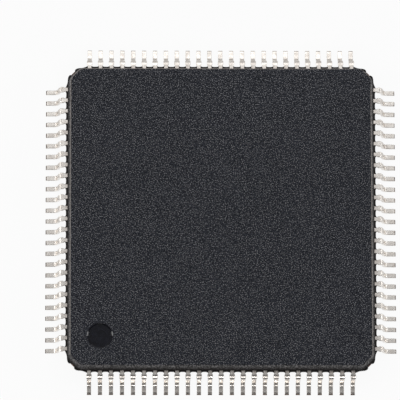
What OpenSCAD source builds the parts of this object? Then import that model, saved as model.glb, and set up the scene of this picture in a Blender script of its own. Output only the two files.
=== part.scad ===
// Plastic quad flat pack: a moulded body round a lead frame, a silicon die and its bond wires.
// Millimetres. The feet of the leads stand on z = 0 and the body is centred on the z axis.
// The pin-1 dimple is at the front left, towards -X and -Y.

/* [Body] */
// Side of the square body at the parting line
body_w = 14; // [13.6:0.1:16]
// Thickness of the body
body_h = 1.4; // [1.3:0.05:1.8]
// Gap between the underside and the board
standoff = 0.1; // [0.05:0.01:0.15]
// Draft of the mould walls, in degrees
draft = 12; // [4:1:15]
// Leg of the corner cut at the parting line
corner_cut = 0.54; // [0.4:0.02:0.6]
// Rounding of the upper and lower edges
edge_r = 0.06; // [0.02:0.01:0.1]

/* [Pin-1 dimple] */
// Diameter of the dimple at its rim
dimple_d = 1.15; // [0.8:0.05:1.5]
// Depth of the dimple
dimple_depth = 0.1; // [0.04:0.01:0.15]
// Slope of the dimple's wall from the vertical, in degrees
dimple_slope = 25; // [5:1:40]
// Distance from the body's sides to the dimple's middle
dimple_in = 1.5; // [1.2:0.1:2.5]

/* [Ejector marks] */
// Diameter of the round marks in the underside
mark_d = 1.35; // [0.8:0.05:1.6]
// Depth of the marks
mark_depth = 0.05; // [0.02:0.01:0.1]
// Distance from the body's sides to a mark's middle
mark_in = 1.5; // [1.2:0.1:2.5]

/* [Moulding flash] */
// Reach of the flash beside a lead
flash_reach = 0.1; // [0.09:0.01:0.14]
// Depth of the scallop between two leads
flash_bite = 0.05; // [0.02:0.01:0.08]
// Reach of the two lips beside each tie bar
lip_reach = 0.1; // [0.05:0.01:0.15]

/* [Leads] */
// Leads on each side
leads_per_side = 25; // [9:2:25]
// Pitch of the leads
pitch = 0.5; // [0.4:0.01:0.52]
// Reach of a lead from the parting line to its tip
lead_reach = 1; // [0.8:0.05:1.4]
// Thickness of the lead frame
lead_t = 0.127; // [0.1:0.001:0.16]
// Width of a lead where it leaves the body
neck_w = 0.185; // [0.16:0.005:0.22]
// Width over the stubs of the cut dam bar
dam_w = 0.245; // [0.225:0.005:0.3]
// Angle of the first bend at which the stubs end, in degrees
dam_end = 75; // [60:1:80]
// Length of the slanting flank at each end of a stub
dam_taper = 0.07; // [0.02:0.01:0.09]
// Width of the foot
foot_w = 0.195; // [0.17:0.005:0.22]
// Straight shoulder between the body and the first bend
shoulder = 0.2; // [0.15:0.01:0.3]
// Inner radius of both bends
bend_r = 0.1; // [0.08:0.01:0.15]
// Angle of the bends, in degrees
bend_angle = 80; // [70:1:85]

/* [Lead fingers] */
// Straight length of a finger behind the body's wall
finger_straight = 0.45; // [0.3:0.05:0.8]
// Distance from the middle of the body to the finger tips
tip_ring = 4.3; // [4.1:0.05:4.8]
// Pitch of the finger tips
tip_pitch = 0.28; // [0.24:0.01:0.3]
// Width of a finger tip
tip_w = 0.15; // [0.1:0.01:0.17]

/* [Die pad] */
// Side of the square pad
pad_w = 7.6; // [6.4:0.1:8]
// Depth of the pad below the lead fingers
downset = 0.2; // [0.1:0.01:0.25]
// Slope of the tie bars down to the pad, in degrees
downset_angle = 45; // [30:5:60]
// Width of a tie bar
tie_w = 0.2; // [0.15:0.01:0.25]
// Reach of a tie bar's cut end past the corner
tie_reach = 0.04; // [0.01:0.01:0.08]
// Length of a tie bar from the pad's corner to its slope
tie_flat = 0.2; // [0.15:0.05:0.5]

/* [Die] */
// Side of the square die
die_w = 5; // [4:0.1:6]
// Thickness of the die
die_t = 0.3; // [0.2:0.01:0.35]
// Thickness of the glue under the die
attach_t = 0.025; // [0.01:0.005:0.05]
// Reach of the glue past the die's sides
attach_reach = 0.1; // [0.02:0.02:0.2]

/* [Bond wires] */
// Diameter of a wire
wire_d = 0.025; // [0.018:0.001:0.032]
// Diameter of the ball bond on the die
ball_d = 0.06; // [0.045:0.005:0.08]
// Height of the ball bond
ball_h = 0.02; // [0.012:0.002:0.03]
// Height of the wire loop above the die
loop_h = 0.18; // [0.14:0.01:0.25]
// Radius of the bend at the top of the loop
loop_r = 0.08; // [0.05:0.01:0.1]
// Distance from the die's side to the ball bonds
bond_in = 0.1; // [0.06:0.01:0.15]
// Distance from the die's corner to the first ball bond
bond_corner = 0.34; // [0.2:0.02:0.6]
// Distance from a finger's tip to the middle of its stitch bond
stitch_in = 0.15; // [0.12:0.01:0.25]

/* [Hidden] */
$fn = 48;

// Flat steps in a lead's bend and in the rounding of a body edge
bend_steps = 8;
edge_steps = 4;
// How far a cutting shape runs past what it cuts
over = 0.5;

// Turn of each side about z, from the right side
right_turn = 0;
rear_turn = 90;
left_turn = 180;
front_turn = 270;
corner_turns = [45, 135, 225, 315];

// Levels, from the board up
frame_bottom = standoff + (body_h - lead_t) / 2;
frame_top = frame_bottom + lead_t;
body_top = standoff + body_h;
pad_bottom = frame_bottom - downset;
pad_top = pad_bottom + lead_t;
attach_top = pad_top + attach_t;
die_top = attach_top + die_t;

// Distances from the middle of the body
wall = body_w / 2;
corner_wall = (body_w - corner_cut) / sqrt(2);
lead_tip = wall + lead_reach;
finger_knee = wall - finger_straight;
stitch_ring = tip_ring + stitch_in;
bond_ring = die_w / 2 - bond_in;

// Rows of leads and bonds
row_middle = (leads_per_side - 1) / 2;
row_w = leads_per_side * pitch;
bond_pitch = (die_w - 2 * bond_corner) / (leads_per_side - 1);
lead_gap = pitch - neck_w;
scallop_r = (pow(lead_gap / 2, 2) + pow(flash_bite, 2)) / (2 * flash_bite);

// Run of the formed part of a lead, from the end of its shoulder to the start of its flat foot
bend_mid_r = bend_r + lead_t / 2;
slope_len = (frame_bottom - 2 * bend_mid_r * (1 - cos(bend_angle))) / sin(bend_angle);
form_run = 2 * bend_mid_r * sin(bend_angle) + slope_len * cos(bend_angle);
shoulder_end = wall + shoulder;
foot_start = shoulder_end + form_run;

// Points of an arc round the point c, from one angle to the other
function arc(c, r, from, to, steps) =
    [for (k = [0:steps]) let (a = from + (to - from) * k / steps) c + r * [cos(a), sin(a)]];

// Sideways place of a lead, of its finger tip and of its ball bond
function lead_y(i) = (i - row_middle) * pitch;
function tip_y(i) = (i - row_middle) * tip_pitch;
function bond_y(i) = (i - row_middle) * bond_pitch;

// Sideways place of a finger's middle line at the stitch bond
function stitch_y(i) =
    tip_y(i) + (lead_y(i) - tip_y(i)) * (stitch_ring - tip_ring) / (finger_knee - tip_ring);

// Stations along a lead from its finger tip to its foot: distance out, sideways place and width
function lead_stations(i) = [
    [tip_ring, tip_y(i), tip_w],
    [finger_knee, lead_y(i), neck_w],
    [shoulder_end, lead_y(i), neck_w],
    [shoulder_end + bend_r, lead_y(i), foot_w],
    [lead_tip, lead_y(i), foot_w]
];

// One edge of a lead's outline: side is 1 or -1
function lead_edge(stations, side) = [for (s = stations) [s[0], s[1] + side * s[2] / 2]];

// Right half of the body's section, with drafted walls and rounded edges, for a wall at the given distance
function half_section(at) =
    let (
        inset = (frame_bottom - standoff) * tan(draft),
        back = edge_r * tan((90 - draft) / 2),
        low = [at - inset - back, standoff + edge_r],
        high = [at - inset - back, body_top - edge_r]
    )
    concat(
        arc(low, edge_r, -90, -draft, edge_steps),
        [[at, frame_bottom], [at, frame_top]],
        arc(high, edge_r, draft, 90, edge_steps)
    );

// A long bar with the body's section, lying along Y
module drafted_bar(at) {
    right_half = half_section(at);
    left_half = [for (k = [len(right_half) - 1:-1:0]) [-right_half[k][0], right_half[k][1]]];
    rotate([90, 0, 0])
        linear_extrude(height = 2 * body_w, center = true)
            polygon(concat(right_half, left_half));
}

// The moulded block before anything is cut from it: walls on four sides and at four cut corners
module drafted_block() {
    intersection() {
        drafted_bar(wall);
        rotate(90) drafted_bar(wall);
        rotate(45) drafted_bar(corner_wall);
        rotate(135) drafted_bar(corner_wall);
    }
}

// Flash along one row of leads, scalloped between them
module flash_row() {
    translate([0, 0, frame_bottom])
        linear_extrude(height = lead_t)
            difference() {
                translate([wall - over, -row_w / 2])
                    square([over + flash_reach, row_w]);
                for (i = [0:leads_per_side])
                    translate([wall + flash_reach - flash_bite + scallop_r, lead_y(i - 1 / 2)])
                        circle(r = scallop_r);
            }
}

// The two pointed lips of flash beside a tie bar
module corner_lips() {
    inner = tie_w / 2;
    outer = corner_cut / sqrt(2);
    translate([0, 0, frame_bottom])
        linear_extrude(height = lead_t)
            for (side = [-1, 1])
                polygon([
                    [corner_wall - over / 2, side * inner],
                    [corner_wall, side * inner],
                    [corner_wall + lip_reach, side * (inner + outer) / 2],
                    [corner_wall, side * outer],
                    [corner_wall - over / 2, side * outer]
                ]);
}

// Shape that cuts the pin-1 dimple, with its rim at the top face
module dimple() {
    widen = 2 * tan(dimple_slope);
    translate([dimple_in - wall, dimple_in - wall, body_top - dimple_depth])
        cylinder(
            d1 = dimple_d - dimple_depth * widen,
            d2 = dimple_d + over * widen,
            h = dimple_depth + over
        );
}

// Shapes that cut the four ejector marks in the underside
module ejector_marks() {
    for (x = [-1, 1], y = [-1, 1])
        translate([x * (wall - mark_in), y * (wall - mark_in), standoff - over])
            cylinder(d = mark_d, h = over + mark_depth);
}

// Outlines of a row of leads, seen from above
module lead_outlines() {
    for (i = [0:leads_per_side - 1]) {
        stations = lead_stations(i);
        back = [for (k = [len(stations) - 1:-1:0]) stations[k]];
        polygon(concat(lead_edge(stations, 1), lead_edge(back, -1)));
    }
}

// A row of leads as stamped, still flat
module flat_leads() {
    translate([0, 0, frame_bottom])
        linear_extrude(height = lead_t)
            lead_outlines();
}

// A strip with the formed shape of the leads, as wide as the row
module formed_strip() {
    bend_1 = [shoulder_end, frame_bottom - bend_r];
    bend_2 = [foot_start, lead_t + bend_r];
    slope_1 = 90 - bend_angle;
    slope_2 = 270 - bend_angle;
    upper = concat(
        [[tip_ring, frame_top]],
        arc(bend_1, bend_r + lead_t, 90, slope_1, bend_steps),
        arc(bend_2, bend_r, slope_2, 270, bend_steps),
        [[lead_tip, lead_t]]
    );
    lower = concat(
        [[lead_tip, 0]],
        arc(bend_2, bend_r + lead_t, 270, slope_2, bend_steps),
        arc(bend_1, bend_r, slope_1, 90, bend_steps),
        [[tip_ring, frame_bottom]]
    );
    rotate([90, 0, 0])
        linear_extrude(height = row_w + 2 * over, center = true)
            polygon(concat(upper, lower));
}

// The stubs of the cut dam bar on one lead, square to the strip where it starts to bend.
// The ends are narrower than the lead, so that only the flanks stand out from its sides.
module dam_stub() {
    start = [wall + flash_reach, frame_bottom + lead_t / 2];
    end = [
        shoulder_end + bend_mid_r * sin(dam_end),
        frame_bottom - bend_r + bend_mid_r * cos(dam_end)
    ];
    run = norm(end - start);
    tilt = atan2(start[1] - end[1], end[0] - start[0]);
    edge = [[0, neck_w / 4], [dam_taper, dam_w / 2], [run - dam_taper, dam_w / 2], [run, neck_w / 4]];
    back = [for (k = [len(edge) - 1:-1:0]) [edge[k][0], -edge[k][1]]];
    translate([start[0], 0, start[1]])
        rotate([0, tilt, 0])
            linear_extrude(height = lead_t + 2 * bend_r, center = true)
                polygon(concat(edge, back));
}

// A row of leads, cut from the strip and formed
module formed_leads() {
    intersection() {
        formed_strip();
        union() {
            translate([0, 0, -over])
                linear_extrude(height = body_top + 2 * over)
                    lead_outlines();
            for (i = [0:leads_per_side - 1])
                translate([0, lead_y(i), 0]) dam_stub();
        }
    }
}

// One bond wire in its own upright plane: ball, riser, bend and the long run down to the finger
module wire(reach, drop) {
    riser_top = loop_h - loop_r;
    aim = [reach - loop_r, drop + riser_top];
    dip = atan2(aim[1], aim[0]) + asin(loop_r / norm(aim));
    run = sqrt(pow(norm(aim), 2) - pow(loop_r, 2)) + wire_d / tan(dip);
    cylinder(d = ball_d, h = ball_h);
    translate([0, 0, ball_h])
        cylinder(d = wire_d, h = riser_top - ball_h);
    translate([loop_r, 0, riser_top])
        rotate([90, 0, 0])
            rotate_extrude(angle = 90 + dip, start = 90 - dip)
                translate([loop_r, 0])
                    circle(d = wire_d);
    translate([loop_r, 0, riser_top])
        rotate([0, dip, 0])
            translate([0, 0, loop_r])
                rotate([0, 90, 0])
                    cylinder(d = wire_d, h = run);
}

// A row of bond wires, pressed flat where they are stitched to the fingers
module wire_row() {
    difference() {
        for (i = [0:leads_per_side - 1]) {
            across = [stitch_ring - bond_ring, stitch_y(i) - bond_y(i)];
            translate([bond_ring, bond_y(i), die_top])
                rotate(atan2(across[1], across[0]))
                    wire(norm(across), die_top - frame_top);
        }
        translate([tip_ring, -row_w / 2, frame_top - over])
            cube([over, row_w, over]);
    }
}

// A tie bar, from inside the pad's corner up its slope and out to the corner of the body
module tie_bar() {
    root = pad_w / sqrt(2) - tie_w;
    slope_start = pad_w / sqrt(2) + tie_flat;
    slope_end = slope_start + downset / tan(downset_angle);
    end = corner_wall + tie_reach;
    lag = lead_t * tan(downset_angle / 2);
    rotate([90, 0, 0])
        linear_extrude(height = tie_w, center = true)
            polygon([
                [root, pad_bottom],
                [slope_start, pad_bottom],
                [slope_end, frame_bottom],
                [end, frame_bottom],
                [end, frame_top],
                [slope_end - lag, frame_top],
                [slope_start - lag, pad_top],
                [root, pad_top]
            ]);
}

module die_pad() {
    color("peru") {
        translate([-pad_w / 2, -pad_w / 2, pad_bottom])
            cube([pad_w, pad_w, lead_t]);
        for (turn = corner_turns)
            rotate(turn) tie_bar();
    }
}

module die_attach() {
    side = die_w + 2 * attach_reach;
    color("silver")
        translate([-side / 2, -side / 2, pad_top])
            cube([side, side, attach_t]);
}

module die() {
    color("slategray")
        translate([-die_w / 2, -die_w / 2, attach_top])
            cube([die_w, die_w, die_t]);
}

module front_leads() {
    color("gainsboro") rotate(front_turn) formed_leads();
}

module right_leads() {
    color("gainsboro") rotate(right_turn) formed_leads();
}

module rear_leads() {
    color("gainsboro") rotate(rear_turn) formed_leads();
}

module left_leads() {
    color("gainsboro") rotate(left_turn) formed_leads();
}

module front_wires() {
    color("gold") rotate(front_turn) wire_row();
}

module right_wires() {
    color("gold") rotate(right_turn) wire_row();
}

module rear_wires() {
    color("gold") rotate(rear_turn) wire_row();
}

module left_wires() {
    color("gold") rotate(left_turn) wire_row();
}

// The moulding fills all the room round the pieces inside it
module mould_body() {
    color([0.2, 0.2, 0.22])
        difference() {
            union() {
                drafted_block();
                for (turn = [right_turn, rear_turn, left_turn, front_turn])
                    rotate(turn) flash_row();
                for (turn = corner_turns)
                    rotate(turn) corner_lips();
            }
            dimple();
            ejector_marks();
            for (turn = [right_turn, rear_turn, left_turn, front_turn])
                rotate(turn) flat_leads();
            die_pad();
            die_attach();
            die();
            front_wires();
            right_wires();
            rear_wires();
            left_wires();
        }
}

mould_body();
front_leads();
right_leads();
rear_leads();
left_leads();
die_pad();
die_attach();
die();
front_wires();
right_wires();
rear_wires();
left_wires();
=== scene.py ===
import math
import random

import bmesh
import bpy
from mathutils import Matrix, Vector


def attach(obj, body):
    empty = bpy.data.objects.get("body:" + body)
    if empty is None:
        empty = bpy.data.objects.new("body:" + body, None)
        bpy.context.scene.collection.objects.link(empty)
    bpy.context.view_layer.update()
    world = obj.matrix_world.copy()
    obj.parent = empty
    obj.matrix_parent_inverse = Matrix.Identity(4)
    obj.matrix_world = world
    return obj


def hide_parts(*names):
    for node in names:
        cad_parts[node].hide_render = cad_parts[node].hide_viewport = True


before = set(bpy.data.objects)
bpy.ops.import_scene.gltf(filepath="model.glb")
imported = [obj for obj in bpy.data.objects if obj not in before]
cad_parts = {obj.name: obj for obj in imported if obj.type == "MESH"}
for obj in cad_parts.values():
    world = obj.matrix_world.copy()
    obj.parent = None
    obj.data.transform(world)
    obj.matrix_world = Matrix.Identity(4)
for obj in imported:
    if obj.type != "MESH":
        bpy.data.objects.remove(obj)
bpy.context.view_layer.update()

# The die pad and its four tie bars are one stamping of bare copper alloy strip, sunk below the leads.
# It carries the die. Only the sheared ends of the tie bars show, at the cut corners of the body.
MM = 0.001


def new_finish(name):
    """A material with its shader, and the place on the piece in millimetres."""
    material = bpy.data.materials.new(name)
    material.use_nodes = True
    tree = material.node_tree
    place = tree.nodes.new("ShaderNodeTexCoord")
    millimetres = tree.nodes.new("ShaderNodeMapping")
    millimetres.inputs["Scale"].default_value = (1 / MM, 1 / MM, 1 / MM)
    tree.links.new(place.outputs["Object"], millimetres.inputs["Vector"])
    return material, tree, tree.nodes["Principled BSDF"], millimetres.outputs["Vector"]


def feed(tree, socket, value):
    """Links a value that varies over the surface to a socket, or sets one that doesn't."""
    if isinstance(value, bpy.types.NodeSocket):
        tree.links.new(value, socket)
    else:
        socket.default_value = value


def noise(tree, vector, per_mm, detail, stretch=(1, 1, 1)):
    """Cloudy noise with so many lumps to the millimetre."""
    scaled = tree.nodes.new("ShaderNodeMapping")
    scaled.inputs["Scale"].default_value = [per_mm * s for s in stretch]
    tree.links.new(vector, scaled.inputs["Vector"])
    node = tree.nodes.new("ShaderNodeTexNoise")
    node.inputs["Scale"].default_value = 1.0
    node.inputs["Detail"].default_value = detail
    tree.links.new(scaled.outputs["Vector"], node.inputs["Vector"])
    return node.outputs["Fac"]


def remap(tree, value, low, high, to_low=0.0, to_high=1.0):
    """A value stretched from one range to another, held at its ends."""
    node = tree.nodes.new("ShaderNodeMapRange")
    tree.links.new(value, node.inputs["Value"])
    node.inputs["From Min"].default_value = low
    node.inputs["From Max"].default_value = high
    node.inputs["To Min"].default_value = to_low
    node.inputs["To Max"].default_value = to_high
    return node.outputs["Result"]


def sums(tree, operation, first, second=0.0):
    """One sum on values of the surface."""
    node = tree.nodes.new("ShaderNodeMath")
    node.operation = operation
    feed(tree, node.inputs[0], first)
    feed(tree, node.inputs[1], second)
    return node.outputs["Value"]


def blend_colours(tree, share, first, second):
    """From the first colour to the second by a share."""
    node = tree.nodes.new("ShaderNodeMix")
    node.data_type = "RGBA"
    feed(tree, node.inputs["Factor"], share)
    feed(tree, node.inputs["A"], first)
    feed(tree, node.inputs["B"], second)
    return node.outputs["Result"]


def relief(tree, shader, height, depth):
    """Bumps of a given depth in metres on the shader's normal."""
    node = tree.nodes.new("ShaderNodeBump")
    node.inputs["Distance"].default_value = depth
    tree.links.new(height, node.inputs["Height"])
    tree.links.new(node.outputs["Normal"], shader.inputs["Normal"])


def tarnish_group():
    """Metal that dulls in patches: its colour, its roughness and the grain of its surface."""
    group = bpy.data.node_groups.new("metal_tarnish", "ShaderNodeTree")
    sockets = group.interface
    sockets.new_socket("Place", in_out="INPUT", socket_type="NodeSocketVector")
    sockets.new_socket("Clean", in_out="INPUT", socket_type="NodeSocketColor")
    sockets.new_socket("Dull", in_out="INPUT", socket_type="NodeSocketColor")
    sockets.new_socket("Smooth", in_out="INPUT", socket_type="NodeSocketFloat")
    sockets.new_socket("Rough", in_out="INPUT", socket_type="NodeSocketFloat")
    sockets.new_socket("Colour", in_out="OUTPUT", socket_type="NodeSocketColor")
    sockets.new_socket("Roughness", in_out="OUTPUT", socket_type="NodeSocketFloat")
    sockets.new_socket("Grain", in_out="OUTPUT", socket_type="NodeSocketFloat")
    start = group.nodes.new("NodeGroupInput")
    end = group.nodes.new("NodeGroupOutput")
    place = start.outputs["Place"]
    patches = remap(group, noise(group, place, per_mm=5.0, detail=3.0), low=0.38, high=0.66)
    grain = noise(group, place, per_mm=26.0, detail=2.0)
    uneven = remap(group, grain, low=0.3, high=0.6, to_low=0.4, to_high=1.0)
    dulling = sums(group, "MULTIPLY", patches, uneven)
    colour = blend_colours(group, dulling, start.outputs["Clean"], start.outputs["Dull"])
    feed(group, end.inputs["Colour"], colour)
    spread = sums(group, "SUBTRACT", start.outputs["Rough"], start.outputs["Smooth"])
    dulled = sums(group, "MULTIPLY", spread, dulling)
    feed(group, end.inputs["Roughness"], sums(group, "ADD", start.outputs["Smooth"], dulled))
    feed(group, end.inputs["Grain"], grain)
    return group


metal_tarnish = tarnish_group()


def tarnished(tree, place, clean, dull, smooth, rough):
    """Puts the tarnish into a material and gives its colour, roughness and grain."""
    node = tree.nodes.new("ShaderNodeGroup")
    node.node_tree = metal_tarnish
    tree.links.new(place, node.inputs["Place"])
    node.inputs["Clean"].default_value = (*clean, 1)
    node.inputs["Dull"].default_value = (*dull, 1)
    node.inputs["Smooth"].default_value = smooth
    node.inputs["Rough"].default_value = rough
    return node.outputs["Colour"], node.outputs["Roughness"], node.outputs["Grain"]


def bare_copper():
    """Bare copper alloy, browned by the heat of moulding."""
    material, tree, shader, place = new_finish("bare_copper")
    shader.inputs["Metallic"].default_value = 1.0
    colour, roughness, grain = tarnished(
        tree, place, clean=(0.17, 0.09, 0.06), dull=(0.06, 0.034, 0.026), smooth=0.45, rough=0.65
    )
    tree.links.new(colour, shader.inputs["Base Color"])
    tree.links.new(roughness, shader.inputs["Roughness"])
    relief(tree, shader, grain, depth=0.002 * MM)
    return material


def dress(node_name, material):
    """Gives a CAD node its material."""
    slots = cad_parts[node_name].data.materials
    slots.clear()
    slots.append(material)


dress("die_pad", bare_copper())

# The die is glued to the pad with a thin layer of epoxy filled with silver flakes.
# It squeezes out a little past the sides of the die and is cured in an oven.
def silver_epoxy():
    """Grey resin with glinting flakes."""
    material, tree, shader, place = new_finish("silver_epoxy")
    flakes = remap(tree, noise(tree, place, per_mm=40.0, detail=1.0), low=0.5, high=0.62)
    resin = (0.36, 0.36, 0.34, 1)
    silver = (0.78, 0.77, 0.74, 1)
    colour = blend_colours(tree, flakes, resin, silver)
    tree.links.new(colour, shader.inputs["Base Color"])
    tree.links.new(flakes, shader.inputs["Metallic"])
    roughness = remap(tree, flakes, low=0, high=1, to_low=0.6, to_high=0.35)
    tree.links.new(roughness, shader.inputs["Roughness"])
    relief(tree, shader, flakes, depth=0.003 * MM)
    return material


dress("die_attach", silver_epoxy())

# The die is a square of silicon sawn from a wafer, with its circuit on the upper face.
# Blocks of circuit stand there in slightly different greys under clear glass.
def sawn_silicon():
    """Dark silicon with a patchwork of circuit blocks."""
    material, tree, shader, place = new_finish("sawn_silicon")
    blocks = tree.nodes.new("ShaderNodeTexVoronoi")
    blocks.distance = "CHEBYCHEV"
    blocks_per_mm = 2.6
    blocks.inputs["Scale"].default_value = blocks_per_mm
    tree.links.new(place, blocks.inputs["Vector"])
    tone = tree.nodes.new("ShaderNodeSeparateColor")
    tree.links.new(blocks.outputs["Color"], tone.inputs["Color"])
    wiring = noise(tree, place, per_mm=30.0, detail=1.0, stretch=(1, 0.1, 1))
    lines = remap(tree, wiring, low=0.35, high=0.65, to_low=0.5, to_high=1.0)
    share = sums(tree, "MULTIPLY", tone.outputs["Red"], lines)
    bare = (0.10, 0.11, 0.13, 1)
    wired = (0.34, 0.32, 0.27, 1)
    colour = blend_colours(tree, share, bare, wired)
    tree.links.new(colour, shader.inputs["Base Color"])
    metallic = remap(tree, share, low=0, high=1, to_low=0.5, to_high=0.95)
    tree.links.new(metallic, shader.inputs["Metallic"])
    roughness = remap(tree, wiring, low=0.3, high=0.7, to_low=0.16, to_high=0.34)
    tree.links.new(roughness, shader.inputs["Roughness"])
    return material


dress("die", sawn_silicon())

# A hundred gold wires join the die to the leads. Each has a ball welded to the die,
# a loop, and an end pressed flat on the tip of its finger.
def drawn_gold():
    """Soft bright gold wire."""
    material, tree, shader, place = new_finish("drawn_gold")
    shader.inputs["Metallic"].default_value = 1.0
    colour, roughness, _ = tarnished(
        tree, place, clean=(0.93, 0.68, 0.28), dull=(0.74, 0.48, 0.17), smooth=0.16, rough=0.32
    )
    tree.links.new(colour, shader.inputs["Base Color"])
    tree.links.new(roughness, shader.inputs["Roughness"])
    return material


gold = drawn_gold()
for side in ("front", "right", "rear", "left"):
    dress(side + "_wires", gold)

# The leads are stamped from the same copper strip, plated with matt tin, sheared off their dam bar
# and bent down to the board. Each goes on inside the body as a finger. The cut toes are bare copper.
LEADS = 25
PITCH = 0.5 * MM
LEAD_T = 0.127 * MM
FRAME_TOP = 0.8635 * MM
FRAME_BOTTOM = FRAME_TOP - LEAD_T
WALL = 7.0 * MM
TIP_RING = 4.3 * MM
TIP_PITCH = 0.28 * MM
TIP_W = 0.15 * MM
KNEE = 6.55 * MM
NECK_W = 0.185 * MM
STUB_START = 7.14 * MM
STUB_W = 0.245 * MM
SHOULDER_END = 7.2 * MM
FOOT_W = 0.195 * MM
LEAD_TIP = 8.0 * MM
TIP_SLANT = 0.04 * MM
FOOT_FALL = 0.012 * MM
TOE_ROLL = 0.11 * MM
TOE_BREAK = 0.02 * MM
TOE_THINNING = 0.02 * MM
BEND_R = 0.1 * MM
LOWER_BEND_R = 0.16 * MM
BEND_ANGLE = math.radians(80)
BEND_STEPS = 4
EDGE_SOFTENING = 0.013 * MM
SMOOTH_UNDER = math.radians(30)
TONE_SEED = 7
TONE_SHARE = 0.22
STAIN_END = 7.16 * MM
STAIN_FULL = 7.02 * MM
STAIN_SHARE = 0.22


def end_width(bm, end, width):
    """Sets how wide the end of a lead is, about its middle line."""
    middle = end.calc_center_median()
    old = max(v.co.y for v in end.verts) - min(v.co.y for v in end.verts)
    about = Matrix.Translation(-middle)
    bmesh.ops.scale(bm, vec=(1, width / old, 1), space=about, verts=list(end.verts))


def draw_out(bm, end, shift, width, rings):
    """Draws a lead on from its end face, straight, to a new width, and leaves no face inside."""
    rings.update(end.edges)
    made = bmesh.ops.extrude_face_region(bm, geom=[end])["geom"]
    if all(len(e.link_faces) > 2 for e in end.edges):
        bmesh.ops.delete(bm, geom=[end], context="FACES_ONLY")
    end = next(part for part in made if isinstance(part, bmesh.types.BMFace))
    bmesh.ops.translate(bm, verts=list(end.verts), vec=shift)
    end_width(bm, end, width)
    rings.update(end.edges)
    return end


def bend(bm, end, middle, angle, width, rings):
    """Bends a lead on from its end face about an axis across it, by one step."""
    parts = [end, *end.edges, *end.verts]
    made = bmesh.ops.spin(
        bm, geom=parts, cent=middle, axis=(0, 1, 0), dvec=(0, 0, 0), angle=angle, steps=1,
        use_duplicate=False,
    )["geom_last"]
    end = next(part for part in made if isinstance(part, bmesh.types.BMFace))
    end_width(bm, end, width)
    rings.update(end.edges)
    return end


def move_top(bm, end, shift):
    """Moves the upper edge of the end face of a foot."""
    bmesh.ops.translate(bm, verts=[v for v in end.verts if v.co.z > LEAD_T / 2], vec=shift)


def add_lead(bm, index):
    """One lead of the right-hand row, from its finger tip to its foot."""
    along = index - (LEADS - 1) / 2
    rings = set()
    upright = Matrix.Rotation(math.radians(90), 4, "Y") @ Matrix.Diagonal((LEAD_T, TIP_W, 1, 1))
    at_tip = Matrix.Translation((TIP_RING, along * TIP_PITCH, FRAME_TOP - LEAD_T / 2))
    grid = bmesh.ops.create_grid(bm, x_segments=1, y_segments=1, size=0.5, matrix=at_tip @ upright)
    end = grid["verts"][0].link_faces[0]
    end = draw_out(bm, end, (KNEE - TIP_RING, along * (PITCH - TIP_PITCH), 0), NECK_W, rings)
    end = draw_out(bm, end, (STUB_START - KNEE, 0, 0), NECK_W, rings)
    end = draw_out(bm, end, (SHOULDER_END - STUB_START, 0, 0), STUB_W, rings)
    step = BEND_ANGLE / BEND_STEPS
    upper = (SHOULDER_END, along * PITCH, FRAME_BOTTOM - BEND_R)
    for width in (STUB_W, STUB_W, FOOT_W, FOOT_W):
        end = bend(bm, end, upper, step, width, rings)
    lower_r = LOWER_BEND_R + LEAD_T / 2
    drop = end.calc_center_median().z - LEAD_T / 2 - lower_r * (1 - math.cos(BEND_ANGLE))
    slope = drop / math.tan(BEND_ANGLE)
    end = draw_out(bm, end, (slope, 0, -drop), FOOT_W, rings)
    middle = end.calc_center_median()
    lower_x = middle.x + lower_r * math.sin(BEND_ANGLE)
    lower = (lower_x, along * PITCH, LEAD_T + LOWER_BEND_R)
    for _ in range(BEND_STEPS):
        end = bend(bm, end, lower, -step, FOOT_W, rings)
    end = draw_out(bm, end, (LEAD_TIP - TOE_ROLL - TOE_BREAK - lower_x, 0, 0), FOOT_W, rings)
    move_top(bm, end, (0, 0, -FOOT_FALL))
    end = draw_out(bm, end, (TOE_BREAK, 0, 0), FOOT_W, rings)
    end = draw_out(bm, end, (TOE_ROLL, 0, 0), FOOT_W, rings)
    move_top(bm, end, (-TIP_SLANT, 0, -TOE_THINNING))
    return rings, end


def lead_row():
    """The right-hand row of leads."""
    bm = bmesh.new()
    tone = bm.faces.layers.float.new("lead_tone")
    draws = random.Random(TONE_SEED)
    for index in range(LEADS):
        before = set(bm.faces)
        rings, tip = add_lead(bm, index)
        lead = [f for f in bm.faces if f not in before]
        long_edges = {e for f in lead for e in f.edges} - rings
        tip.material_index = 1
        bmesh.ops.bevel(
            bm, geom=list(long_edges), offset=EDGE_SOFTENING, segments=1, profile=0.5, affect="EDGES",
            clamp_overlap=True, material=-1,
        )
        shade = draws.random()
        for f in bm.faces:
            if f not in before:
                f[tone] = shade
    bmesh.ops.recalc_face_normals(bm, faces=bm.faces[:])
    return bm


def soft_shading(bm):
    """Smooth shading, broken where two faces meet at a sharp angle."""
    for f in bm.faces:
        f.smooth = True
    for e in bm.edges:
        e.smooth = len(e.link_faces) == 2 and e.calc_face_angle() < SMOOTH_UNDER


def piece_from(bm, name, *materials):
    """An object at the origin from a finished mesh."""
    soft_shading(bm)
    mesh = bpy.data.meshes.new(name)
    bm.to_mesh(mesh)
    bm.free()
    for material in materials:
        mesh.materials.append(material)
    piece = bpy.data.objects.new(name, mesh)
    bpy.context.scene.collection.objects.link(piece)
    return piece


def from_middle(tree, place):
    """How far out along the leads a place lies, in millimetres from the middle of the body."""
    parts = tree.nodes.new("ShaderNodeSeparateXYZ")
    tree.links.new(place, parts.inputs["Vector"])
    across = sums(tree, "ABSOLUTE", parts.outputs["X"])
    deep = sums(tree, "ABSOLUTE", parts.outputs["Y"])
    return sums(tree, "MAXIMUM", across, deep)


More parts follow.
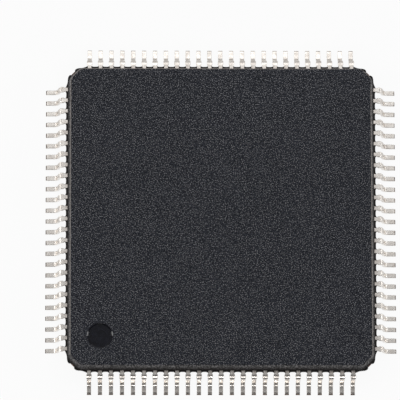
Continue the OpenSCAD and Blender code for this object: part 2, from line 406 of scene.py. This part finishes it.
def matt_tin():
    """Matt tin plating: fine grain, dull patches and a brown stain where the resin ends."""
    material, tree, shader, place = new_finish("matt_tin")
    shader.inputs["Metallic"].default_value = 1.0
    colour, roughness, grain = tarnished(
        tree, place, clean=(0.865, 0.825, 0.775), dull=(0.62, 0.565, 0.518), smooth=0.25, rough=0.38
    )
    own = tree.nodes.new("ShaderNodeAttribute")
    own.attribute_name = "lead_tone"
    stain = remap(tree, from_middle(tree, place), low=STAIN_END / MM, high=STAIN_FULL / MM)
    uneven = remap(tree, grain, low=0.35, high=0.6, to_low=0.3, to_high=1.0)
    stained = sums(tree, "MULTIPLY", stain, uneven)
    brown = (0.33, 0.22, 0.185, 1)
    colour = blend_colours(tree, sums(tree, "MULTIPLY", stained, STAIN_SHARE), colour, brown)
    greyer = sums(tree, "MULTIPLY", own.outputs["Fac"], TONE_SHARE)
    grey = (0.625, 0.592, 0.545, 1)
    colour = blend_colours(tree, greyer, colour, grey)
    tree.links.new(colour, shader.inputs["Base Color"])
    tree.links.new(roughness, shader.inputs["Roughness"])
    relief(tree, shader, grain, depth=0.0009 * MM)
    return material


def cut_copper():
    """The sheared end of a lead: dark copper with drag lines and smears of tin."""
    material, tree, shader, place = new_finish("cut_copper")
    shader.inputs["Metallic"].default_value = 1.0
    colour, roughness, _ = tarnished(
        tree, place, clean=(0.20, 0.14, 0.10), dull=(0.06, 0.04, 0.033), smooth=0.4, rough=0.6
    )
    drag = noise(tree, place, per_mm=30.0, detail=1.0, stretch=(1, 1, 0.08))
    smear = remap(tree, drag, low=0.6, high=0.7, to_low=0.0, to_high=0.35)
    smeared_tin = (0.6, 0.57, 0.53, 1)
    colour = blend_colours(tree, smear, colour, smeared_tin)
    tree.links.new(colour, shader.inputs["Base Color"])
    tree.links.new(roughness, shader.inputs["Roughness"])
    relief(tree, shader, drag, depth=0.004 * MM)
    return material


tin = matt_tin()
cut_face = cut_copper()
ROW_TURNS = (("right", 0), ("rear", 90), ("left", 180), ("front", 270))
for side, turn in ROW_TURNS:
    row = lead_row()
    about_middle = Matrix.Rotation(math.radians(turn), 4, "Z")
    bmesh.ops.transform(row, matrix=about_middle, verts=row.verts[:])
    leads = piece_from(row, side + "_lead_row", tin, cut_face)
    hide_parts(side + "_leads")
    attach(leads, "root")

# The body is black epoxy, moulded round the lead frame in a spark-eroded mould, so it is matt and
# grainy. The pin-1 dimple and the four ejector marks below are smooth.
# Thin flash runs out between the leads and at the corners.
BODY_TOP = 1.5 * MM
BODY_BOTTOM = 0.1 * MM
DRAFT = math.radians(12)
CORNER_CUT = 0.54 * MM
CORNER_ROUNDING = 0.18 * MM
CORNER_STEPS = 3
EDGE_R = 0.06 * MM
EDGE_STEPS = 4
DIMPLE_AT = (-5.5 * MM, -5.5 * MM)
DIMPLE_R = 0.575 * MM
DIMPLE_DEPTH = 0.1 * MM
DIMPLE_SLOPE = math.radians(25)
PIN_RING = 0.32 * MM
MARK_AT = 5.5 * MM
MARK_R = 0.675 * MM
MARK_DEPTH = 0.05 * MM
RIM = 0.04 * MM
RIM_OUT = RIM * 0.4
RIM_IN = RIM * 0.6
RIM_SLOPE = math.radians(31)
DIMPLE_FILLET = 0.006 * MM
DIMPLE_FILLET_OUT = DIMPLE_FILLET * 0.4
DIMPLE_FILLET_UP = DIMPLE_FILLET * 0.9
FILLET = 0.02 * MM
FILLET_OUT = FILLET * 0.3
FILLET_DIP = FILLET * 0.2
FLASH_REACH = 0.1 * MM
FLASH_BITES = {"right": 0.033 * MM, "rear": 0.033 * MM, "left": 0.033 * MM, "front": 0.046 * MM}
FLASH_ROOT = 0.08 * MM
LIP_REACH = 0.085 * MM
LIP_SKEW = 0.7
TIE_HALF = 0.1 * MM
TAIL = 0.35 * MM
WEB_BITS = 8
PANEL_EDGE = 1.25
CIRCLE_CUTS = 11
FIRST_INSET = 0.1
LEVEL_SLACK = 0.001 * MM
CUT_SLACK = 1e-6 * MM


def flat_faces(bm, level):
    """The faces that lie flat at a level."""
    return [f for f in bm.faces if all(abs(v.co.z - level) < LEVEL_SLACK for v in f.verts)]


def cut_panels(bm, level, lines):
    """Cuts the flat faces at a level along straight lines: an axis and a place each."""
    for axis, place in lines:
        flat = flat_faces(bm, level)
        parts = set(flat) | {e for f in flat for e in f.edges} | {v for f in flat for v in f.verts}
        normal = Vector((1, 0, 0)) if axis == "X" else Vector((0, 1, 0))
        bmesh.ops.bisect_plane(
            bm, geom=list(parts), dist=CUT_SLACK, plane_co=normal * place, plane_no=normal
        )


def round_recess(bm, level, at, steps):
    """Sinks a round recess into a flat panel; its steps are radius and depth, from the rim in."""
    centre = Vector((at[0], at[1], level))
    panel = min(flat_faces(bm, level), key=lambda f: (f.calc_center_bounds() - centre).length)
    bmesh.ops.subdivide_edges(bm, edges=list(panel.edges), cuts=CIRCLE_CUTS, use_grid_fill=False)
    panel = min(flat_faces(bm, level), key=lambda f: (f.calc_center_bounds() - centre).length)
    radius, depth = steps[0]
    bmesh.ops.inset_region(
        bm, faces=[panel], thickness=radius * FIRST_INSET, depth=0, use_even_offset=True
    )
    for v in panel.verts:
        v.co = centre + (v.co - centre).normalized() * radius
    for next_radius, next_depth in steps[1:]:
        bmesh.ops.inset_region(
            bm, faces=[panel], thickness=radius - next_radius, depth=depth - next_depth,
            use_even_offset=True,
        )
        radius, depth = next_radius, next_depth


def moulded_block():
    """A square with cut corners: a slab at the parting line, drafted both ways from it."""
    bm = bmesh.new()
    bmesh.ops.create_grid(bm, x_segments=1, y_segments=1, size=WALL)
    bmesh.ops.bevel(
        bm, geom=bm.verts[:], offset=CORNER_CUT, segments=1, profile=0.5, affect="VERTICES",
        material=-1,
    )
    bmesh.ops.bevel(
        bm, geom=bm.verts[:], offset=CORNER_ROUNDING, segments=CORNER_STEPS, profile=0.5,
        affect="VERTICES", material=-1,
    )
    bmesh.ops.translate(bm, verts=bm.verts[:], vec=(0, 0, FRAME_BOTTOM))
    made = bmesh.ops.extrude_face_region(bm, geom=bm.faces[:])["geom"]
    raised = [part for part in made if isinstance(part, bmesh.types.BMVert)]
    bmesh.ops.translate(bm, verts=raised, vec=(0, 0, LEAD_T))
    bmesh.ops.recalc_face_normals(bm, faces=bm.faces[:])
    above = BODY_TOP - FRAME_TOP
    below = FRAME_BOTTOM - BODY_BOTTOM
    for level, rise in ((FRAME_TOP, above), (FRAME_BOTTOM, below)):
        face = flat_faces(bm, level)
        bmesh.ops.inset_region(
            bm, faces=face, thickness=rise * math.tan(DRAFT), depth=rise, use_even_offset=True
        )
    rims = {e for level in (BODY_TOP, BODY_BOTTOM) for f in flat_faces(bm, level) for e in f.edges}
    setback = EDGE_R * math.tan((math.radians(90) - DRAFT) / 2)
    bmesh.ops.bevel(
        bm, geom=list(rims), offset=setback, segments=EDGE_STEPS, profile=0.5, affect="EDGES",
        material=-1,
    )
    return bm


body = moulded_block()
half_panel = DIMPLE_R * PANEL_EDGE
cut_panels(
    body, BODY_TOP,
    [("X", DIMPLE_AT[0] - half_panel), ("X", DIMPLE_AT[0] + half_panel),
     ("Y", DIMPLE_AT[1] - half_panel), ("Y", DIMPLE_AT[1] + half_panel)],
)
floor_r = DIMPLE_R - DIMPLE_DEPTH * math.tan(DIMPLE_SLOPE)
round_recess(
    body, BODY_TOP, DIMPLE_AT,
    [(DIMPLE_R + RIM_OUT, 0), (DIMPLE_R - RIM_IN, RIM * math.tan(RIM_SLOPE)),
     (floor_r + DIMPLE_FILLET_OUT, DIMPLE_DEPTH - DIMPLE_FILLET_UP),
     (floor_r - DIMPLE_FILLET, DIMPLE_DEPTH)],
)
half_panel = MARK_R * PANEL_EDGE
mark_lines = [
    (axis, side * MARK_AT + edge * half_panel)
    for axis in "XY" for side in (-1, 1) for edge in (-1, 1)
]
cut_panels(body, BODY_BOTTOM, mark_lines)
for x in (-1, 1):
    for y in (-1, 1):
        round_recess(
            body, BODY_BOTTOM, (x * MARK_AT, y * MARK_AT),
            [(MARK_R + FILLET, 0), (MARK_R + FILLET_OUT, FILLET_DIP), (MARK_R, FILLET),
             (MARK_R, MARK_DEPTH - FILLET_OUT), (MARK_R - FILLET, MARK_DEPTH)],
        )
SMOOTH, FLASH, SATIN = 1, 2, 3
FLAT = math.cos(math.radians(25))
for f in body.faces:
    middle = f.calc_center_median()
    from_dimple = (middle.xy - Vector(DIMPLE_AT)).length
    from_mark = Vector((abs(middle.x) - MARK_AT, abs(middle.y) - MARK_AT)).length
    above = middle.z > FRAME_TOP
    below = middle.z < FRAME_BOTTOM
    if (above and from_dimple < DIMPLE_R + RIM) or (below and from_mark < MARK_R + FILLET):
        f.material_index = SMOOTH
    elif abs(f.normal.z) < FLAT:
        f.material_index = SATIN


def add_web(bm, wall, low, high, reach, turn):
    """A thin web of flash between two places along a wall. A rule says how far it reaches out."""
    at = Matrix.Translation((wall - FLASH_ROOT / 2, (low + high) / 2, FRAME_BOTTOM))
    size = Matrix.Diagonal((FLASH_ROOT, high - low, 1, 1))
    grid = bmesh.ops.create_grid(bm, x_segments=1, y_segments=WEB_BITS, size=0.5, matrix=at @ size)
    web = grid["verts"]
    for v in web:
        if v.co.x > wall - FLASH_ROOT / 2:
            v.co.x = wall + reach((v.co.y - low) / (high - low))
    sheet = list({f for v in web for f in v.link_faces})
    made = bmesh.ops.extrude_face_region(bm, geom=sheet)["geom"]
    raised = [part for part in made if isinstance(part, bmesh.types.BMVert)]
    bmesh.ops.translate(bm, verts=raised, vec=(0, 0, LEAD_T))
    island = web + raised
    bmesh.ops.transform(bm, matrix=Matrix.Rotation(math.radians(turn), 4, "Z"), verts=island)
    for f in {f for v in island for f in v.link_faces}:
        f.material_index = FLASH


def scallop(share, bite):
    """The free edge between two leads: drawn out along both, bitten back between."""
    return FLASH_REACH - bite * (1 - (2 * share - 1) ** 4)


def tail(share):
    """The free edge past the last lead of a row, running out along the wall."""
    return FLASH_REACH * (1 - share) ** 2


def lip(share):
    """The free edge of a rounded lip, fullest on the side of the tie bar."""
    return LIP_REACH * (1 - (2 * share**LIP_SKEW - 1) ** 2)


corner_wall = (2 * WALL - CORNER_CUT) / math.sqrt(2)
lip_end = CORNER_CUT / math.sqrt(2)
row_end = (LEADS - 1) / 2 * PITCH + NECK_W / 2
for side, turn in ROW_TURNS:
    bite = FLASH_BITES[side]
    for gap in range(LEADS - 1):
        start = (gap - (LEADS - 1) / 2) * PITCH + NECK_W / 2
        add_web(body, WALL, start, start + PITCH - NECK_W, lambda share: scallop(share, bite), turn)
    add_web(body, WALL, row_end, row_end + TAIL, tail, turn)
    add_web(body, WALL, -row_end - TAIL, -row_end, lambda share: tail(1 - share), turn)
    add_web(body, corner_wall, TIE_HALF, lip_end, lip, turn + 45)
    add_web(body, corner_wall, -lip_end, -TIE_HALF, lambda share: lip(1 - share), turn + 45)
bmesh.ops.recalc_face_normals(body, faces=body.faces[:])


def grain_group():
    """The grain of moulded compound: its tone, its relief and bright painted glints of light."""
    group = bpy.data.node_groups.new("moulded_grain", "ShaderNodeTree")
    sockets = group.interface
    sockets.new_socket("Place", in_out="INPUT", socket_type="NodeSocketVector")
    sockets.new_socket("Tone", in_out="OUTPUT", socket_type="NodeSocketFloat")
    sockets.new_socket("Relief", in_out="OUTPUT", socket_type="NodeSocketFloat")
    sockets.new_socket("Glints", in_out="OUTPUT", socket_type="NodeSocketFloat")
    start = group.nodes.new("NodeGroupInput")
    end = group.nodes.new("NodeGroupOutput")
    place = start.outputs["Place"]
    grain = noise(group, place, per_mm=30.0, detail=1.0)
    cloud = noise(group, place, per_mm=1.1, detail=2.0)
    specks = remap(group, grain, low=0.44, high=0.6, to_low=0.0, to_high=0.94)
    drift = remap(group, cloud, low=0.35, high=0.65, to_low=0.0, to_high=0.06)
    tone = sums(group, "ADD", specks, drift)
    # Painted glints: rare bright specks of colour stand in for tiny glints of light on the grain.
    glint_noise = noise(group, place, per_mm=24.0, detail=0.0)
    feed(group, end.inputs["Tone"], tone)
    feed(group, end.inputs["Relief"], grain)
    feed(group, end.inputs["Glints"], remap(group, glint_noise, low=0.61, high=0.72))
    return group


moulded_grain = grain_group()


def grained(tree, place):
    """Puts the moulded grain into a material and gives its tone, relief and glints."""
    node = tree.nodes.new("ShaderNodeGroup")
    node.node_tree = moulded_grain
    tree.links.new(place, node.inputs["Place"])
    return node.outputs["Tone"], node.outputs["Relief"], node.outputs["Glints"]


def grainy_compound():
    """Black compound as the eroded mould leaves it: matt and grainy, with tiny painted glints of
    light.
    """
    material, tree, shader, place = new_finish("grainy_compound")
    tone, height, glints = grained(tree, place)
    pits = (0.0002, 0.0002, 0.0004, 1)
    peaks = (0.043, 0.047, 0.061, 1)
    painted_glint_grey = (0.24, 0.24, 0.25, 1)
    colour = blend_colours(tree, tone, pits, peaks)
    # Painted glints: the specks are a lighter colour standing in for glints of light.
    colour = blend_colours(tree, glints, colour, painted_glint_grey)
    tree.links.new(colour, shader.inputs["Base Color"])
    roughness = remap(tree, tone, low=0.0, high=1.0, to_low=0.7, to_high=0.5)
    tree.links.new(roughness, shader.inputs["Roughness"])
    shader.inputs["Specular IOR Level"].default_value = 0.1
    relief(tree, shader, height, depth=0.012 * MM)
    return material


def satin_compound():
    """Black compound on the drafted walls and round edges: mottled, and rougher and darker toward the
    parting line, where the darkening is painted shade.

    The upper edge carries a painted highlight, a little paler, but not at the front or at the rear
    right corner.
    """
    material, tree, shader, place = new_finish("satin_compound")
    lumps = noise(tree, place, per_mm=14.0, detail=1.0, stretch=(1, 1, 0.35))
    mottle = remap(tree, lumps, low=0.4, high=0.66)
    dark = (0.004, 0.004, 0.004, 1)
    light = (0.165, 0.156, 0.160, 1)
    colour = blend_colours(tree, mottle, dark, light)
    parts = tree.nodes.new("ShaderNodeSeparateXYZ")
    tree.links.new(place, parts.inputs["Vector"])
    across, deep, level = parts.outputs
    parting_line = (FRAME_TOP + FRAME_BOTTOM) / 2 / MM
    from_line = sums(tree, "ABSOLUTE", sums(tree, "SUBTRACT", level, parting_line))
    # Painted shade: the wall goes darker toward the parting line, just above the leads and flash; it
    # is also rougher there.
    dull = remap(tree, from_line, low=0.6, high=0.16)
    dull_and_shade_black = (0.014, 0.012, 0.012, 1)
    colour = blend_colours(tree, dull, colour, dull_and_shade_black)
    # Painted highlight: a paler band of colour along the upper edge, left off at the front and at the
    # rear right corner.
    edge_from = (BODY_TOP - EDGE_R) / MM
    edge_full = (BODY_TOP - EDGE_R * 0.7) / MM
    upper_edge = remap(tree, level, low=edge_from, high=edge_full)
    off_front = remap(tree, deep, low=-6.5, high=-6.3, to_low=0.0, to_high=0.48)
    off_corner = remap(tree, sums(tree, "ADD", across, deep), low=13.0, high=12.6)
    painted_highlight = sums(tree, "MULTIPLY", upper_edge, sums(tree, "MULTIPLY", off_front, off_corner))
    painted_highlight_grey = (0.33, 0.295, 0.27, 1)
    colour = blend_colours(tree, painted_highlight, colour, painted_highlight_grey)
    tree.links.new(colour, shader.inputs["Base Color"])
    rough = remap(tree, mottle, low=0.0, high=1.0, to_low=0.5, to_high=0.34)
    rougher = remap(tree, dull, low=0.0, high=1.0, to_low=0.0, to_high=0.45)
    tree.links.new(sums(tree, "ADD", rough, rougher), shader.inputs["Roughness"])
    shader.inputs["Specular IOR Level"].default_value = 0.3
    relief(tree, shader, mottle, depth=0.006 * MM)
    return material


def smooth_compound():
    """Black compound pressed against a polished pin: smooth, faintly uneven, with a faint ring."""
    material, tree, shader, place = new_finish("smooth_compound")
    tone, height, _ = grained(tree, place)
    lumps = noise(tree, place, per_mm=4.0, detail=2.0)
    cloud = remap(tree, lumps, low=0.36, high=0.64, to_low=0.0, to_high=0.5)
    pin = tree.nodes.new("ShaderNodeVectorMath")
    pin.operation = "DISTANCE"
    tree.links.new(place, pin.inputs[0])
    pin.inputs[1].default_value = [c / MM for c in (*DIMPLE_AT, BODY_TOP - DIMPLE_DEPTH)]
    off_ring = sums(tree, "ABSOLUTE", sums(tree, "SUBTRACT", pin.outputs["Value"], PIN_RING / MM))
    speckle = remap(tree, off_ring, low=0.03, high=0.0, to_low=0.4, to_high=1.2)
    share = sums(tree, "ADD", cloud, sums(tree, "MULTIPLY", tone, speckle))
    deep_black = (0.0004, 0.0006, 0.0022, 1)
    worn_black = (0.008, 0.009, 0.016, 1)
    colour = blend_colours(tree, share, deep_black, worn_black)
    tree.links.new(colour, shader.inputs["Base Color"])
    roughness = remap(tree, tone, low=0.0, high=1.0, to_low=0.13, to_high=0.18)
    tree.links.new(roughness, shader.inputs["Roughness"])
    shader.inputs["Specular IOR Level"].default_value = 0.36
    relief(tree, shader, height, depth=0.0002 * MM)
    return material


def thin_flash():
    """Resin bled out thin: brown where it is thinnest."""
    material, tree, shader, place = new_finish("thin_flash")
    tone, height, _ = grained(tree, place)
    edge = remap(tree, from_middle(tree, place), low=7.02, high=7.09)
    uneven = remap(tree, tone, low=0.2, high=0.8, to_low=0.4, to_high=1.0)
    share = sums(tree, "MULTIPLY", edge, uneven)
    black = (0.007, 0.005, 0.004, 1)
    brown = (0.036, 0.022, 0.013, 1)
    colour = blend_colours(tree, share, black, brown)
    tree.links.new(colour, shader.inputs["Base Color"])
    roughness = remap(tree, tone, low=0.0, high=1.0, to_low=0.35, to_high=0.55)
    tree.links.new(roughness, shader.inputs["Roughness"])
    shader.inputs["Specular IOR Level"].default_value = 0.3
    relief(tree, shader, height, depth=0.004 * MM)
    return material


finishes = (grainy_compound(), smooth_compound(), thin_flash(), satin_compound())
moulding = piece_from(body, "moulding", *finishes)
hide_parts("mould_body")
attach(moulding, "root")

# The chip stands on a sheet of plain white card, wide enough for every view.
# The card is matt, with the faint tooth of paper.
CARD_HALF = 1.0
CARD_GAP = 0.002 * MM
GLOW_TO_EYE = 0.93


def white_card():
    """White card, lit up to clean white for the eye and in mirrored rays, with a trace of shadow."""
    material, tree, shader, place = new_finish("white_card")
    tooth = noise(tree, place, per_mm=1.5, detail=3.0)
    hollows = (0.76, 0.76, 0.76, 1)
    fibres = (0.79, 0.79, 0.79, 1)
    colour = blend_colours(tree, tooth, hollows, fibres)
    tree.links.new(colour, shader.inputs["Base Color"])
    shader.inputs["Roughness"].default_value = 0.9
    shader.inputs["Specular IOR Level"].default_value = 0.1
    glow = tree.nodes.new("ShaderNodeEmission")
    rays = tree.nodes.new("ShaderNodeLightPath")
    seen = sums(tree, "MAXIMUM", rays.outputs["Is Camera Ray"], rays.outputs["Is Transmission Ray"])
    to_eye = sums(tree, "MULTIPLY", seen, GLOW_TO_EYE)
    slant = tree.nodes.new("ShaderNodeLayerWeight")
    mirrored = remap(tree, slant.outputs["Facing"], low=0.3, high=0.08, to_low=0.36, to_high=0.95)
    to_metal = sums(tree, "MULTIPLY", rays.outputs["Is Glossy Ray"], mirrored)
    mix = tree.nodes.new("ShaderNodeMixShader")
    tree.links.new(sums(tree, "MAXIMUM", to_eye, to_metal), mix.inputs["Fac"])
    tree.links.new(shader.outputs["BSDF"], mix.inputs[1])
    tree.links.new(glow.outputs["Emission"], mix.inputs[2])
    tree.links.new(mix.outputs["Shader"], tree.nodes["Material Output"].inputs["Surface"])
    return material


card = bmesh.new()
under_soles = Matrix.Translation((0, 0, -CARD_GAP))
bmesh.ops.create_grid(card, x_segments=1, y_segments=1, size=CARD_HALF, matrix=under_soles)
floor = piece_from(card, "card", white_card())

# Two sheets of black card give the leads dark bands to mirror. One hangs high over the front
# of the chip, behind the camera, and the other stands low in front of it.
FLAG_AWAY = 0.55
FLAG_W = 0.6
# Each has a name, a lean from straight overhead in degrees, and a depth in metres.
FLAGS = (("flag", 23, 0.26), ("low_flag", 67, 0.30))


def black_card():
    """Black card with the faint tooth of paper."""
    material, tree, shader, place = new_finish("black_card")
    tooth = noise(tree, place, per_mm=1.5, detail=3.0)
    hollows = (0.012, 0.012, 0.012, 1)
    fibres = (0.02, 0.02, 0.02, 1)
    colour = blend_colours(tree, tooth, hollows, fibres)
    tree.links.new(colour, shader.inputs["Base Color"])
    shader.inputs["Roughness"].default_value = 0.9
    return material


black = black_card()
for name, lean, depth in FLAGS:
    flag = bmesh.new()
    hung = Matrix.Rotation(math.radians(lean), 4, "X") @ Matrix.Translation((0, 0, FLAG_AWAY))
    hung = hung @ Matrix.Diagonal((FLAG_W, depth, 1, 1))
    bmesh.ops.create_grid(flag, x_segments=1, y_segments=1, size=0.5, matrix=hung)
    bmesh.ops.reverse_faces(flag, faces=flag.faces[:])
    piece_from(flag, name, black)

# Plain studio light: a soft box high behind the chip, low ones behind and at both sides,
# a small lamp at the front and at both sides, and a dim room.
ROOM_COLOUR = (0.97, 0.98, 1.0, 1)
ROOM_STRENGTH = 0.3


def soft_box(name, azimuth, height, distance, width, depth, power):
    """A soft box that faces the chip, at an azimuth from the front and a height in degrees.

    Its distance and size are in metres, and its power is in watts.
    """
    light = bpy.data.lights.new(name, "AREA")
    light.shape = "RECTANGLE"
    light.size = width
    light.size_y = depth
    light.energy = power
    lamp = bpy.data.objects.new(name, light)
    turn, rise = math.radians(azimuth), math.radians(height)
    level = math.cos(rise)
    away = Vector((math.sin(turn) * level, -math.cos(turn) * level, math.sin(rise)))
    lamp.location = away * distance
    lamp.rotation_euler = away.to_track_quat("Z", "Y").to_euler()
    bpy.context.scene.collection.objects.link(lamp)


soft_box("rear_box", azimuth=180, height=61, distance=0.30, width=0.50, depth=0.17, power=0.36)
soft_box("low_rear_box", azimuth=180, height=24, distance=0.34, width=0.50, depth=0.20, power=0.13)
soft_box("low_left_box", azimuth=-90, height=8, distance=0.34, width=0.40, depth=0.09, power=0.15)
soft_box("low_right_box", azimuth=90, height=8, distance=0.34, width=0.40, depth=0.09, power=0.10)
soft_box("front_lamp", azimuth=0, height=46, distance=0.30, width=0.12, depth=0.045, power=0.125)
soft_box("left_lamp", azimuth=-90, height=30, distance=0.32, width=0.09, depth=0.05, power=0.125)
soft_box("right_lamp", azimuth=90, height=30, distance=0.32, width=0.09, depth=0.05, power=0.105)
room = bpy.data.worlds.new("room")
room.use_nodes = True
walls = room.node_tree.nodes["Background"]
walls.inputs["Color"].default_value = ROOM_COLOUR
walls.inputs["Strength"].default_value = ROOM_STRENGTH
bpy.context.scene.world = room
bpy.context.scene.view_settings.view_transform = "Standard"

# The camera looks down steeply from the front, through a long lens.
# Its place and turn were fitted to the corners and the lead tips of the chip.
LENS = 492.75
SENSOR = 36.0
NEAR_CLIP = 10 * MM
FAR_CLIP = 10.0
CAMERA_AT = (-0.939533498 * MM, 1.00747288 * MM, 250.519483 * MM)
CAMERA_TURN = (-0.181822026, 0.0157689248, -0.00164004759)
view = Matrix.Rotation(CAMERA_TURN[2], 3, "Z") @ Matrix.Rotation(CAMERA_TURN[1], 3, "Y")
view = (view @ Matrix.Rotation(CAMERA_TURN[0], 3, "X")).transposed()
lens = bpy.data.cameras.new("camera")
lens.sensor_width = SENSOR
lens.lens = LENS
lens.clip_start = NEAR_CLIP
lens.clip_end = FAR_CLIP
camera = bpy.data.objects.new("camera", lens)
camera.matrix_world = Matrix.Translation(view @ Vector(CAMERA_AT)) @ view.to_4x4()
bpy.context.scene.collection.objects.link(camera)
bpy.context.scene.camera = camera
